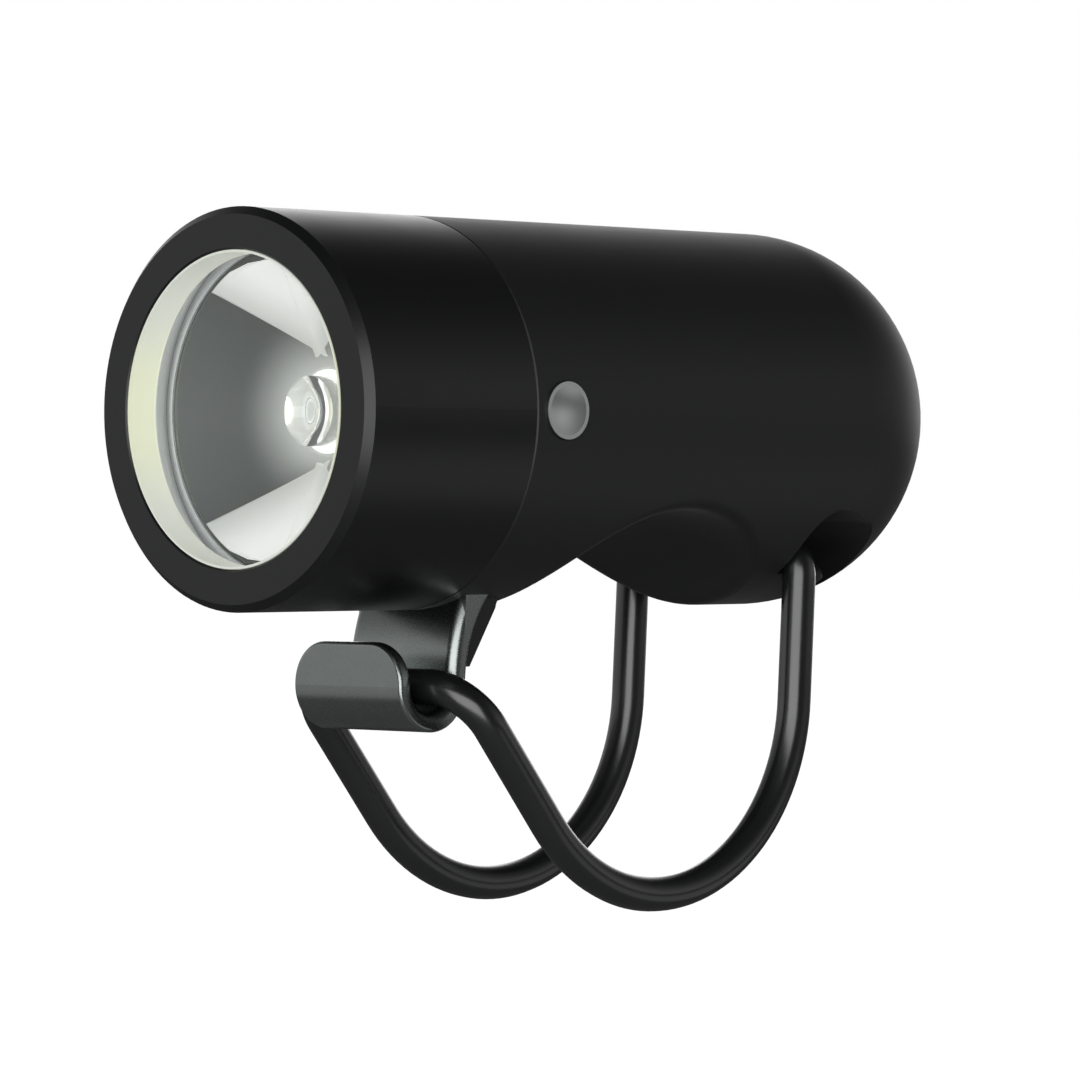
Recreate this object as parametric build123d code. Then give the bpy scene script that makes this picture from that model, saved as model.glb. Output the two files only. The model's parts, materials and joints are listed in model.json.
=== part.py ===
from build123d import *
from math import acos, asin, atan2, cos, degrees, hypot, radians, sin, sqrt, tan
import os

# A bicycle headlight: a round barrel that sits across the handlebar on a
# saddle and is held there by one rubber loop, stretched from a tongue in the
# barrel's tail, round the bar, and up into a metal hook behind the bezel.
#
# Frame: the origin is the centre of the handlebar. The bar lies along X, the
# lamp shines along -Y and +Z is up. The barrel's axis is parallel to Y.

# Handlebar and saddle
bar_diameter = 31.8
saddle_clearance = 0.2
saddle_depth = 8.7
saddle_edge_radius = 1.5

# Barrel and bezel
front_length = 21.5
shell_wall = 2.6
floor_thickness = 5.6
inner_wall = 1.6
bezel_length = 19.3
bezel_chamfer = 0.66
face_width = 3.6
lip_thickness = 1.4
lip_bevel = 0.15
seam_chamfer = 0.12
spigot_length = 5.0
spigot_wall = 1.5
spigot_root = 1.0
bezel_clearance = 0.05
seal_groove_depth = 0.7
seal_groove_width = 1.2
seal_clearance = 0.01

# Lens stack, from the front face towards the rear
face_step = 0.1
spill_nose = 0.2
spill_clearance = 0.05
spill_depth = 2.9
flange_thickness = 1.2
flange_step_width = 3.05
flange_step_depth = 0.35
flange_step_bevel = 0.3
lens_flange_width = 3.75
lens_depth = 15.5
lens_tail_lip = 0.7
bowl_fullness = 0.68
lens_leg_radius = 1.0
lens_leg_root = 4.0
lens_leg_offset = 5.6
pocket_radius = 3.0
pocket_depth = 4.2
pocket_crown = 1.3
gasket_width = 0.9
holder_clearance = 0.35

# Light source and its heat sink
phosphor_width = 3.4
phosphor_thickness = 0.25
package_width = 5.0
package_thickness = 0.7
package_corner = 0.8
source_gap = 0.1
led_board_thickness = 1.2
led_board_clearance = 0.3
sink_floor = 3.0
sink_wall = 1.1
sink_flange = 1.0
pin_radius = 0.4
pin_hole_radius = 0.75
pin_offset = 2.6
screw_radius = 0.8
screw_head_radius = 1.3
screw_head_height = 0.9
screw_hole_clearance = 0.1
screw_slot_reach = 0.6
screw_slot_width = 0.16
led_screw_offset = 6.6
sink_web = 0.8
sink_head_gap = 1.0

# Driver board, switch and charging socket
driver_gap = 0.8
driver_thickness = 1.0
driver_clearance = 0.5
driver_screw_edge = 2.0
driver_screw_angle = 47.7
driver_screw_grip = 3.0
switch_width = 4.5
switch_depth = 2.4
switch_gap = 0.6
switch_floor = 0.5
plunger_radius = 0.9
plunger_length = 0.5
plunger_depth = 1.0
plunger_clearance = 0.1
chip_thickness = 0.9
chip_setback = 3.9
controller_width = 4.0
controller_angle = 53.0
charger_width = 3.0
charger_angle = 3.0
sensor_width = 2.5
sensor_angle = 135.0
socket_width = 8.94
socket_height = 3.26
socket_length = 7.3
socket_wall = 0.3
socket_gap = 0.15
socket_back = 1.0
socket_tongue = 0.7
tongue_setback = 1.0
tongue_margin = 1.15

# Button
button_diameter = 4.9
button_setback = 3.5
button_gap = 0.08
button_proud = 0.15
button_dish = 0.32
button_rim = 0.35
button_flange_extra = 0.85
button_flange_thickness = 0.6
button_wall = 1.2
button_seal_section = 0.5
button_stem_radius = 1.0

# Port flap
flap_width = 6.0
flap_angle = 21.0
flap_thickness = 1.2
flap_gap = 0.15
flap_seat_gap = 0.05
flap_barrel_radius = 0.75
flap_plug_height = 0.9
flap_plug_gap = 0.2
port_clearance = 0.3

# Battery and its carrier
cell_diameter = 18.3
cell_length = 34.5
cell_lift = 3.6
cell_headroom = 1.35
cell_setback = 2.8
cell_dome_reach = 3.96
cell_clearance = 0.1
cell_edge_radius = 0.6
cell_nub_radius = 3.0
cell_nub_height = 0.5
carrier_clearance = 0.1
carrier_bar = 2.4
carrier_bays = 3
carrier_rise = 3.2
window_top = 2.0
window_height = 8.0
contact_thickness = 0.3
contact_width = 5.0
contact_lap = 3.0

# Front hook
hook_half_width = 6.7
hook_wall = 1.7
hook_channel_clearance = 0.67
hook_setback = 0.05
hook_drop = 6.4
hook_lip_height = 3.8
hook_lip_corner = 3.7
hook_arm_thickness = 2.75
hook_arm_lean = 1.6
hook_arm_cover = 1.1
hook_tab_thickness = 1.8
hook_tab_length = 3.4
hook_tab_cover = 1.0
hook_inner_edge = 1.0
hook_outer_edge = 0.35
leg_width_step = 0.8
leg_tip_height = 1.6
leg_tip_thickness = 1.0
leg_root_thickness = 2.23
leg_root_rise = 0.2
leg_blend_width = 1.9
leg_blend_height = 1.4

# Rear slot and its tongue
slot_wall = 2.0
slot_length = 9.95
slot_front_radius = 3.45
slot_rear_radius = 3.15
slot_front_rise = 5.3
slot_rear_drop = 0.7
tongue_height = 3.8
tongue_side_gap = 0.3
tongue_tip_gap = 2.5
tongue_root = 1.0
tongue_corner = 1.2
tongue_edge_radius = 0.6
seat_height = 2.9

# Rubber loop
strap_diameter = 3.06
strap_half_span = 10.4
strap_clearance = 0.2
strap_slot_gap = 0.6
strap_front_bend = 4.5
strap_rear_bend = 3.0

# Reach of the cutting shapes past the barrel, and the smallest difference that counts
tool_margin = 1.0
edge_tolerance = 0.01

# Places worked out from the sizes above
saddle_radius = bar_diameter / 2 + saddle_clearance
cell_radius = cell_diameter / 2
cavity_radius = cell_lift + cell_radius + contact_thickness + cell_headroom
barrel_radius = cavity_radius + shell_wall
barrel_height = saddle_radius + barrel_radius - saddle_depth
barrel_bottom = barrel_height - barrel_radius
cavity_floor = barrel_bottom + floor_thickness
past_barrel = barrel_radius + tool_margin
seam_y = -front_length
face_y = seam_y - bezel_length
spigot_radius = cavity_radius + spigot_wall
bezel_bore = spigot_radius + bezel_clearance
spigot_front = seam_y - spigot_length
opening_radius = barrel_radius - face_width

flange_front = face_y + spill_depth
flange_back = flange_front + flange_thickness
flange_radius = bezel_bore - gasket_width
flange_step_radius = flange_radius - flange_step_width
lens_radius = flange_radius - lens_flange_width
lens_tail_radius = pocket_radius + lens_tail_lip
lens_back = flange_front + lens_depth
package_front = lens_back + source_gap
led_board_front = package_front + package_thickness
led_board_back = led_board_front + led_board_thickness
sink_back = led_board_back + sink_floor
sink_bore = led_screw_offset + screw_head_radius + sink_head_gap
sink_radius = sink_bore + sink_wall
sink_front = spigot_front - sink_flange
driver_front = sink_back + driver_gap
driver_back = driver_front + driver_thickness
driver_radius = cavity_radius - driver_clearance
driver_screw_ring = driver_radius - driver_screw_edge
driver_screw_x = driver_screw_ring * cos(radians(driver_screw_angle))
driver_screw_z = barrel_height - driver_screw_ring * sin(radians(driver_screw_angle))
driver_low = cavity_floor + driver_clearance / 2

button_y = seam_y + button_setback
button_radius = button_diameter / 2
flange_outer = button_radius + button_flange_extra
button_face = barrel_radius + button_proud
button_step = barrel_radius - button_wall
switch_front = sink_radius + switch_gap + switch_depth
plunger_front = switch_front + plunger_length + plunger_clearance
cell_y = driver_back + socket_height + cell_setback
cell_z = barrel_height + cell_lift
cell_back = cell_y + cell_length
nub_y = cell_y - cell_nub_height
dome_y = cell_back - cell_dome_reach
socket_y = driver_back + socket_height / 2
socket_mouth = socket_gap - sqrt(cavity_radius**2 - socket_width**2 / 4)

strap_radius = strap_diameter / 2
strap_loop_radius = saddle_radius + strap_radius
tongue_half_width = strap_half_span - strap_radius - tongue_side_gap
channel_radius = strap_radius + hook_channel_clearance
channel_y = seam_y - hook_setback - channel_radius
channel_z = barrel_bottom - hook_drop
hook_outer_radius = channel_radius + hook_wall
hook_strap_y = channel_y + hook_channel_clearance / 2
arm_top = barrel_bottom + hook_arm_cover
slot_front = sqrt(saddle_radius**2 - barrel_bottom**2) + slot_wall
slot_back = slot_front + slot_length
tongue_top = barrel_bottom + tongue_height
anchor_y = slot_front + strap_slot_gap + strap_radius
anchor_z = tongue_top + strap_clearance + strap_radius


def turned(points):
    """Revolve a closed profile of (distance along Y, radius) about the barrel's axis."""
    outline = Polyline([(radius, 0, along) for along, radius in points], close=True)
    solid = revolve(make_face(outline), Axis.Z)
    return on_barrel(solid)


def on_barrel(solid):
    """Place a shape made along Z so that Z runs rearwards along the barrel's axis."""
    return Pos(0, 0, barrel_height) * Rot(-90, 0, 0) * solid


def rod(radius, start, end):
    """Make a round rod between two points."""
    direction = Vector(*end) - Vector(*start)
    plane = Plane(origin=start, z_dir=direction)
    return extrude(plane * Circle(radius), direction.length)


def block(x_range, y_range, z_range):
    """Make a box from its lowest and highest values on each axis."""
    sizes = [high - low for low, high in (x_range, y_range, z_range)]
    centre = [(high + low) / 2 for low, high in (x_range, y_range, z_range)]
    return Pos(*centre) * Box(*sizes)


def slice_across(y_range, z_range):
    """Make a box that is wider than the barrel."""
    return block((-past_barrel, past_barrel), y_range, z_range)


def across(sketch, half_width):
    """Extrude a sketch drawn in (Y, Z) evenly to both sides along X."""
    return extrude(Plane.YZ * sketch, half_width, both=True)


def mirrored(shape):
    """Fuse a shape with its mirror image across the middle plane."""
    return shape + mirror(shape, Plane.YZ)


def bezel():
    """Turned front ring: a thin lip round the opening, open at the rear."""
    return turned([
        (face_y, opening_radius + lip_bevel),
        (face_y, barrel_radius - bezel_chamfer),
        (face_y + bezel_chamfer, barrel_radius),
        (seam_y - seam_chamfer, barrel_radius),
        (seam_y, barrel_radius - seam_chamfer),
        (seam_y, bezel_bore),
        (face_y + lip_thickness, bezel_bore),
        (face_y + lip_thickness, opening_radius),
        (face_y + lip_bevel, opening_radius),
    ])


def spill_ring():
    """Pale ring that lines the opening and seats the lens behind the lip."""
    outer = opening_radius - spill_clearance
    inner = outer - spill_nose
    return turned([
        (face_y + face_step, inner),
        (face_y + face_step, outer),
        (face_y + lip_thickness, outer),
        (face_y + lip_thickness, bezel_bore - spill_clearance),
        (flange_front, bezel_bore - spill_clearance),
        (flange_front, inner),
    ])


def lens_gasket():
    """Flat rubber ring round the rim of the lens."""
    return turned([
        (flange_front, flange_radius),
        (flange_front, bezel_bore - spill_clearance),
        (flange_back, bezel_bore - spill_clearance),
        (flange_back, flange_radius),
    ])


def collimator_lens():
    """Clear lens: a stepped flange, a deep curved bowl and a pocket for the light source."""
    step = flange_front + flange_step_depth
    pocket_front = lens_back - pocket_depth
    crown_sphere = (pocket_radius**2 + pocket_crown**2) / (2 * pocket_crown)
    crown_turn = asin(pocket_radius / crown_sphere) / 2
    crown_middle = pocket_front + pocket_crown - crown_sphere * (1 - cos(crown_turn))
    bowl_middle, bowl_back = bowl_points(0)
    rim = Polyline([
        (0, 0, step),
        (flange_step_radius - flange_step_bevel, 0, step),
        (flange_step_radius, 0, flange_front),
        (flange_radius, 0, flange_front),
        (flange_radius, 0, flange_back),
        (lens_radius, 0, flange_back),
    ])
    bowl = ThreePointArc((lens_radius, 0, flange_back), bowl_middle, bowl_back)
    tail = Polyline([
        (lens_tail_radius, 0, lens_back),
        (pocket_radius, 0, lens_back),
        (pocket_radius, 0, pocket_front),
    ])
    crown = ThreePointArc(
        (pocket_radius, 0, pocket_front),
        (crown_sphere * sin(crown_turn), 0, crown_middle),
        (0, 0, pocket_front + pocket_crown),
    )
    middle = Line((0, 0, pocket_front + pocket_crown), (0, 0, step))
    lens = on_barrel(revolve(make_face(rim + bowl + tail + crown + middle), Axis.Z))
    for side in (-1, 1):
        leg_z = barrel_height + side * lens_leg_offset
        lens += rod(lens_leg_radius, (0, lens_back - lens_leg_root, leg_z), (0, led_board_front, leg_z))
    return lens


def lens_holder():
    """Curved cup that carries the lens flange and stands on the heat sink."""
    outer = bezel_bore - spill_clearance
    cup = turned([
        (flange_back, 0),
        (flange_back, outer),
        (sink_front, outer),
        (sink_front, 0),
    ])
    middle, back = bowl_points(holder_clearance)
    mouth = (lens_radius + holder_clearance, 0, flange_back)
    bowl = ThreePointArc(mouth, middle, back)
    ends = Polyline([back, (0, 0, lens_back), (0, 0, flange_back), mouth])
    return cup - on_barrel(revolve(make_face(bowl + ends), Axis.Z))


def bowl_points(grow):
    """Middle and rear points of the lens bowl's curve, moved outwards by grow."""
    middle_radius = lens_tail_radius + (lens_radius - lens_tail_radius) * bowl_fullness + grow
    middle = (middle_radius, 0, (flange_back + lens_back) / 2)
    return middle, (lens_tail_radius + grow, 0, lens_back)


def led_phosphor():
    """Yellow emitting layer on the front of the light source."""
    half = phosphor_width / 2
    depth = (package_front - phosphor_thickness, package_front)
    return block((-half, half), depth, (barrel_height - half, barrel_height + half))


def led_package():
    """Square carrier of the light source, with rounded corners."""
    outline = RectangleRounded(package_width, package_width, package_corner)
    plane = Plane(origin=(0, led_board_front, barrel_height), x_dir=(1, 0, 0), z_dir=(0, -1, 0))
    return extrude(plane * outline, package_thickness)


def led_board():
    """Round metal board that carries the light source, with two screw holes."""
    radius = sink_bore - led_board_clearance
    centre = (0, led_board_front, barrel_height)
    board = rod(radius, centre, (0, led_board_back, barrel_height))
    for side in (-1, 1):
        hole = screw_radius + screw_hole_clearance
        x = side * led_screw_offset
        board -= rod(hole, (x, led_board_front, barrel_height), (x, led_board_back, barrel_height))
    return board


def led_board_screws():
    """Two screws that hold the board to the heat sink."""
    screws = Part()
    for side in (-1, 1):
        x = side * led_screw_offset
        screws += screw((x, led_board_front, barrel_height), led_board_thickness + sink_floor - sink_web)
    return screws


def screw(seat, length):
    """A pan head screw that points rearwards, with a cross in its head."""
    x, y, z = seat
    body = rod(screw_radius, seat, (x, y + length, z))
    head = rod(screw_head_radius, (x, y - screw_head_height, z), seat)
    arm = screw_head_radius * screw_slot_reach
    width = screw_head_radius * screw_slot_width
    depth = (y - screw_head_height, y - screw_head_height / 2)
    cross = block((x - arm, x + arm), depth, (z - width, z + width))
    cross += block((x - width, x + width), depth, (z - arm, z + arm))
    return body + head - cross


def heat_sink():
    """Turned cup with a flange that is clamped between the lens holder and the body."""
    outer = bezel_bore - spill_clearance
    sink = turned([
        (sink_front, sink_bore),
        (sink_front, outer),
        (spigot_front, outer),
        (spigot_front, sink_radius),
        (sink_back, sink_radius),
        (sink_back, 0),
        (led_board_back, 0),
        (led_board_back, sink_bore),
    ])
    for side in (-1, 1):
        x = side * led_screw_offset
        depth = led_board_back + sink_floor - sink_web
        sink -= rod(screw_radius, (x, led_board_back, barrel_height), (x, depth, barrel_height))
        z = barrel_height + side * pin_offset
        sink -= rod(pin_hole_radius, (0, led_board_back, z), (0, sink_back, z))
    return sink


def led_pins():
    """Two pins that feed the light source through the floor of the heat sink."""
    pins = Part()
    for side in (-1, 1):
        z = barrel_height + side * pin_offset
        pins += rod(pin_radius, (0, led_board_back, z), (0, driver_front, z))
    return pins


def body_seal():
    """Rubber ring in the groove of the body's spigot, under the bezel."""
    groove_floor = spigot_radius - seal_groove_depth
    section = (bezel_bore - groove_floor) / 2 - seal_clearance
    centre_radius = (bezel_bore + groove_floor) / 2
    ring = Torus(centre_radius, section)
    return Pos(0, seal_y(), barrel_height) * Rot(-90, 0, 0) * ring


def seal_y():
    """Middle of the seal's groove along the spigot."""
    return seam_y - spigot_length / 2


def slot_profile(grow):
    """Outline in (Y, Z) of the rear slot, made larger all round by grow: an arch on straight walls."""
    front_z = barrel_bottom + slot_front_rise
    rear_z = front_z - slot_rear_drop
    front = Pos(slot_front + slot_front_radius, front_z) * Circle(slot_front_radius + grow)
    rear = Pos(slot_back - slot_rear_radius, rear_z) * Circle(slot_rear_radius + grow)
    arch = make_hull(front.edges() + rear.edges())
    walls = Polyline([
        (slot_front - grow, front_z),
        (slot_back + grow, rear_z),
        (slot_back + grow, barrel_bottom - slot_length),
        (slot_front - grow, barrel_bottom - slot_length),
    ], close=True)
    return arch + make_face(walls)


def barrel_solid():
    """The body's outer form: a cylinder closed by a round dome at the rear."""
    cylinder = rod(barrel_radius, (0, seam_y, barrel_height), (0, dome_y, barrel_height))
    cylinder = chamfer(cylinder.edges().sort_by(Axis.Y)[0], seam_chamfer)
    return cylinder + Pos(0, dome_y, barrel_height) * Sphere(barrel_radius)


def saddle_tool(radius):
    """Cylinder about the handlebar's axis."""
    return across(Circle(radius), past_barrel)


def saddled_barrel():
    """The barrel with the handlebar's saddle cut into it and its edge rounded."""
    barrel = barrel_solid() - saddle_tool(saddle_radius)
    curved = barrel.faces().filter_by(GeomType.CYLINDER)
    saddle = curved.sort_by(lambda face: abs(face.radius - saddle_radius))[0]
    return fillet(saddle.edges(), saddle_edge_radius)


def leg():
    """Front leg of the body, behind the hook, that carries the saddle's curve down."""
    tip_z = channel_z + leg_tip_height
    tip_y = arm_back(tip_z)
    root_z = barrel_bottom + leg_root_rise
    root_y = arm_back(root_z) + leg_root_thickness
    top_z = cavity_floor - hook_tab_cover
    end = (root_y + leg_blend_width, root_z + leg_blend_height)
    rear = Polyline([(tip_y, tip_z), (tip_y + leg_tip_thickness, tip_z), (root_y, root_z)])
    blend = ThreePointArc((root_y, root_z), leg_blend_middle(root_y, root_z), end)
    inside = Polyline([end, (end[0], top_z), (arm_back(root_z), top_z), (arm_back(root_z), root_z)])
    middle_z = (tip_z + root_z) / 2
    front = ThreePointArc((arm_back(root_z), root_z), (arm_back(middle_z), middle_z), (tip_y, tip_z))
    return across(make_face(rear + blend + inside + front), hook_half_width - leg_width_step)


def leg_blend_middle(root_y, root_z):
    """Middle of the hollow arc that leads the leg into the barrel's underside."""
    share = 1 - sqrt(0.5)
    return root_y + leg_blend_width * share, root_z + leg_blend_height * (1 - share)


def arm_back(z):
    """Rear face of the hook's arm: its Y at the height z, on an arc that leaves the ring in line."""
    lean = hook_arm_lean + hook_arm_thickness - hook_wall
    bend = (lean**2 + (arm_top - channel_z) ** 2) / (2 * lean)
    return channel_y + hook_outer_radius + bend - sqrt(bend**2 - (z - channel_z) ** 2)


def arm_outline():
    """Outline in (Y, Z) of the arm, with the tab that is cast into the body."""
    tab_top = cavity_floor - hook_tab_cover
    tab_low = tab_top - hook_tab_thickness
    foot_front = channel_y + channel_radius
    foot_back = channel_y + hook_outer_radius
    top_front = foot_front + hook_arm_lean
    top_back = top_front + hook_arm_thickness
    front = TangentArc((foot_front, channel_z), (top_front, arm_top), tangent=(0, 1))
    back = TangentArc((foot_back, channel_z), (top_back, arm_top), tangent=(0, 1))
    tab = Polyline([
        (top_back, arm_top),
        (top_back, tab_low),
        (top_back + hook_tab_length, tab_low),
        (top_back + hook_tab_length, tab_top),
        (top_front, tab_top),
        (top_front, arm_top),
    ])
    foot = Line((foot_front, channel_z), (foot_back, channel_z))
    return make_face(front + back + tab + foot)


def front_hook():
    """Metal hook: a lip, a round channel for the loop, an arm and a tab cast into the body."""
    lip_back = channel_y - channel_radius
    ring = Pos(channel_y, channel_z) * (Circle(hook_outer_radius) - Circle(channel_radius))
    lower = Pos(channel_y, channel_z - hook_outer_radius / 2)
    lower *= Rectangle(2 * hook_outer_radius, hook_outer_radius)
    lip = Pos(lip_back - hook_wall / 2, channel_z + hook_lip_height / 2)
    lip *= Rectangle(hook_wall, hook_lip_height)
    hook = across((ring & lower) + lip + arm_outline(), hook_half_width)
    lip_corners = hook.edges().filter_by(Axis.Y).group_by(Axis.Y)[0]
    return soften_hook(fillet(lip_corners, hook_lip_corner))


def soften_hook(hook):
    """Round the edges of the hook's sides: widely where the loop runs, finely outside."""
    hook = fillet(channel_edges(hook, channel_radius), hook_inner_edge)
    return fillet(channel_edges(hook, hook_outer_radius), hook_outer_edge)


def channel_edges(hook, radius):
    """Round edges of the channel's given radius, from which a rounding runs on along the hook."""
    arcs = hook.edges().filter_by(GeomType.CIRCLE)
    return arcs.filter_by(lambda edge: abs(edge.radius - radius) < edge_tolerance)


def body_shell():
    """Moulded body: barrel, dome, saddle, leg, rear slot with its tongue, and a hollow inside."""
    outer = saddled_barrel() + leg()
    outer += spigot()
    outer -= across(slot_profile(0), past_barrel)
    outer += tongue()
    outer -= cavity()
    outer -= front_hook()
    outer -= button_bore()
    outer -= port_recess()
    return outer


def spigot():
    """Ring at the front of the body that enters the bezel, with the seal's groove."""
    middle = seal_y()
    half = seal_groove_width / 2
    floor = spigot_radius - seal_groove_depth
    return turned([
        (spigot_front, cavity_radius),
        (spigot_front, spigot_radius),
        (middle - half, spigot_radius),
        (middle - half, floor),
        (middle + half, floor),
        (middle + half, spigot_radius),
        (seam_y + spigot_root, spigot_radius),
        (seam_y + spigot_root, cavity_radius),
    ])


def cavity():
    """Hollow of the body, which keeps its wall over the saddle and round the slot."""
    hollow = rod(cavity_radius, (0, spigot_front, barrel_height), (0, dome_y, barrel_height))
    hollow += Pos(0, dome_y, barrel_height) * Sphere(cavity_radius)
    hollow -= slice_across((seam_y, dome_y + past_barrel), (barrel_height - past_barrel, cavity_floor))
    hollow -= saddle_tool(saddle_radius + inner_wall)
    return hollow - across(slot_profile(inner_wall), past_barrel)


def tongue():
    """Tongue of the barrel's own underside, left standing in the slot to hold the loop's rear run."""
    root = slot_front - tongue_root
    tip = slot_back - tongue_tip_gap
    heights = (barrel_bottom - tool_margin, tongue_top)
    plate = block((-tongue_half_width, tongue_half_width), (root, tip), heights)
    sides = plate.edges().filter_by(Axis.Y).group_by(Axis.Z)[-1]
    plate = fillet(sides, tongue_corner)
    end = plate.faces().sort_by(Axis.Y)[-1]
    low = end.edges().sort_by(Axis.Z)[0]
    plate = fillet(end.edges() - [low], tongue_edge_radius)
    return (plate + loop_seats(root)) & barrel_solid()


def loop_seats(root):
    """Round corners beside the tongue, in which the loop's two legs run down out of the slot."""
    low = barrel_bottom - tool_margin
    high = barrel_bottom + seat_height
    leg_y = anchor_y + (anchor_z - high) * tan(tangent_angle(anchor_y, anchor_z, -1))
    seats = block((-strap_half_span, strap_half_span), (root, leg_y), (low, high))
    for side in (-1, 1):
        bore = extrude(Circle(strap_radius + tongue_side_gap), high - low)
        seats -= Pos(side * strap_half_span, leg_y, low) * bore
    return seats


def button_bore():
    """Hole for the button, with a wider step inside for its flange and seal."""
    start = (cavity_radius - shell_wall, button_y, barrel_height)
    narrow = rod(button_radius + button_gap, start, (past_barrel, button_y, barrel_height))
    wide = rod(flange_outer + button_gap, start, (button_step, button_y, barrel_height))
    return narrow + wide


def button_cap():
    """Round metal cap with a hollowed face, a flange that keeps it in, and a stem."""
    y, z = button_y, barrel_height
    flange_top = button_step - button_seal_section
    flange_low = flange_top - button_flange_thickness
    cap = rod(button_radius, (flange_low, y, z), (button_face, y, z))
    cap += rod(flange_outer, (flange_low, y, z), (flange_top, y, z))
    cap += rod(button_stem_radius, (plunger_front, y, z), (flange_low, y, z))
    dish_half = button_radius - button_rim
    sphere = (dish_half**2 + button_dish**2) / (2 * button_dish)
    return cap - Pos(button_face + sphere - button_dish, y, z) * Sphere(sphere)


def button_seal():
    """Rubber ring round the button's neck, between its flange and the step in the wall."""
    minor = (button_seal_section - 2 * seal_clearance) / 2
    major = button_radius + button_gap + minor
    x = button_step - button_seal_section / 2
    return Pos(x, button_y, barrel_height) * Rot(0, 90, 0) * Torus(major, minor)


def button_switch():
    """Small switch that stands on the driver board and faces the button."""
    half = switch_width / 2
    low = switch_front - switch_depth
    heights = (barrel_height - half, barrel_height + half)
    body = block((low, switch_front), (button_y - half, driver_front), heights)
    start = (low + switch_floor, button_y, barrel_height)
    return body - rod(plunger_radius + plunger_clearance, start, (switch_front, button_y, barrel_height))


def switch_plunger():
    """Plunger of the switch, which the button's stem pushes."""
    start = (switch_front - plunger_depth, button_y, barrel_height)
    return rod(plunger_radius, start, (plunger_front, button_y, barrel_height))


def driver_board():
    """Round circuit board across the body's hollow, flat along its lower edge."""
    board = rod(driver_radius, (0, driver_front, barrel_height), (0, driver_back, barrel_height))
    board -= slice_across((driver_front, driver_back), (barrel_height - past_barrel, driver_low))
    for side in (-1, 1):
        x = side * driver_screw_x
        hole = screw_radius + screw_hole_clearance
        board -= rod(hole, (x, driver_front, driver_screw_z), (x, driver_back, driver_screw_z))
    return board


def driver_chips():
    """Controller, charger and sensor chips on the rear of the driver board."""
    ring = driver_radius - chip_setback
    depth = (driver_back, driver_back + chip_thickness)
    chips = Part()
    for width, angle in ((controller_width, controller_angle), (charger_width, charger_angle),
                         (sensor_width, sensor_angle)):
        x = ring * cos(radians(angle))
        z = barrel_height + ring * sin(radians(angle))
        chips += block((x - width / 2, x + width / 2), depth, (z - width / 2, z + width / 2))
    return chips


def driver_screws():
    """Two screws that hold the driver board to the battery carrier's posts."""
    screws = Part()
    for side in (-1, 1):
        seat = (side * driver_screw_x, driver_front, driver_screw_z)
        screws += screw(seat, driver_thickness + driver_screw_grip)
    return screws


def charge_socket():
    """Metal charging socket with its inner tongue, on the rear of the driver board."""
    plane = Plane(origin=(socket_mouth, socket_y, barrel_height), x_dir=(0, 0, 1), z_dir=(1, 0, 0))
    outer = SlotOverall(socket_width, socket_height)
    inner = SlotOverall(socket_width - 2 * socket_wall, socket_height - 2 * socket_wall)
    shell = extrude(plane * outer, socket_length)
    shell -= extrude(plane * inner, socket_length - socket_back)
    bar = extrude(plane * Rectangle(socket_width - 2 * tongue_margin, socket_tongue), socket_length)
    bar -= extrude(plane * Rectangle(socket_width, socket_height), tongue_setback)
    return shell + bar


def flap_point(radius, angle):
    """Place on the port's side of the barrel, in (X, Z), from its radius and angle."""
    turn = radians(angle)
    return -radius * cos(turn), barrel_height + radius * sin(turn)


def flap_sector(low_radius, high_radius, low_angle, high_angle, half_width):
    """Curved plate on the port's side of the barrel between two radii and two angles."""
    ring = Circle(high_radius) - Circle(low_radius)
    far = 2 * high_radius
    corners = [(0, 0)]
    for angle in (low_angle, high_angle):
        turn = radians(angle)
        corners.append((-far * cos(turn), far * sin(turn)))
    wedge = make_face(Polyline(corners, close=True))
    plane = Plane(origin=(0, port_y() + half_width, barrel_height), x_dir=(1, 0, 0), z_dir=(0, -1, 0))
    return extrude(plane * (ring & wedge), 2 * half_width)


def port_y():
    """Middle of the charging port along the barrel."""
    return socket_y


def hinge_radius():
    """Distance of the flap's hinge from the barrel's axis."""
    return barrel_radius - flap_barrel_radius


def port_recess():
    """Shallow seat for the flap, the groove of its hinge and the port's hole."""
    half = flap_width / 2 + flap_gap
    low = -flap_angle - degrees(flap_gap / barrel_radius)
    high = flap_angle + degrees((flap_barrel_radius + flap_gap) / barrel_radius)
    seat = flap_sector(barrel_radius - flap_thickness, past_barrel, low, flap_angle, half)
    seat += flap_sector(hinge_radius(), past_barrel, flap_angle, high, half)
    x, z = flap_point(hinge_radius(), flap_angle)
    groove = rod(flap_barrel_radius + flap_gap, (x, port_y() - half, z), (x, port_y() + half, z))
    return seat + groove + port_plug(port_clearance, 2 * shell_wall)


def port_plug(grow, length):
    """Rounded bar through the port, as long as asked, inwards from the middle of the flap's plate."""
    plane = Plane(origin=(-barrel_radius + flap_thickness / 2, port_y(), barrel_height),
                  x_dir=(0, 0, 1), z_dir=(1, 0, 0))
    shrink = 2 * (socket_wall + flap_plug_gap - grow)
    return extrude(plane * SlotOverall(socket_width - shrink, socket_height - shrink), length)


def port_flap():
    """Rubber flap over the port, with a hinge bead along its upper edge and a plug behind."""
    half = flap_width / 2
    floor = barrel_radius - flap_thickness + flap_seat_gap
    plate = flap_sector(floor, barrel_radius, -flap_angle, flap_angle, half)
    x, z = flap_point(hinge_radius(), flap_angle)
    bead = rod(flap_barrel_radius, (x, port_y() - half, z), (x, port_y() + half, z))
    plug = port_plug(0, flap_thickness / 2 + flap_plug_height)
    return plate + bead + plug


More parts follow.
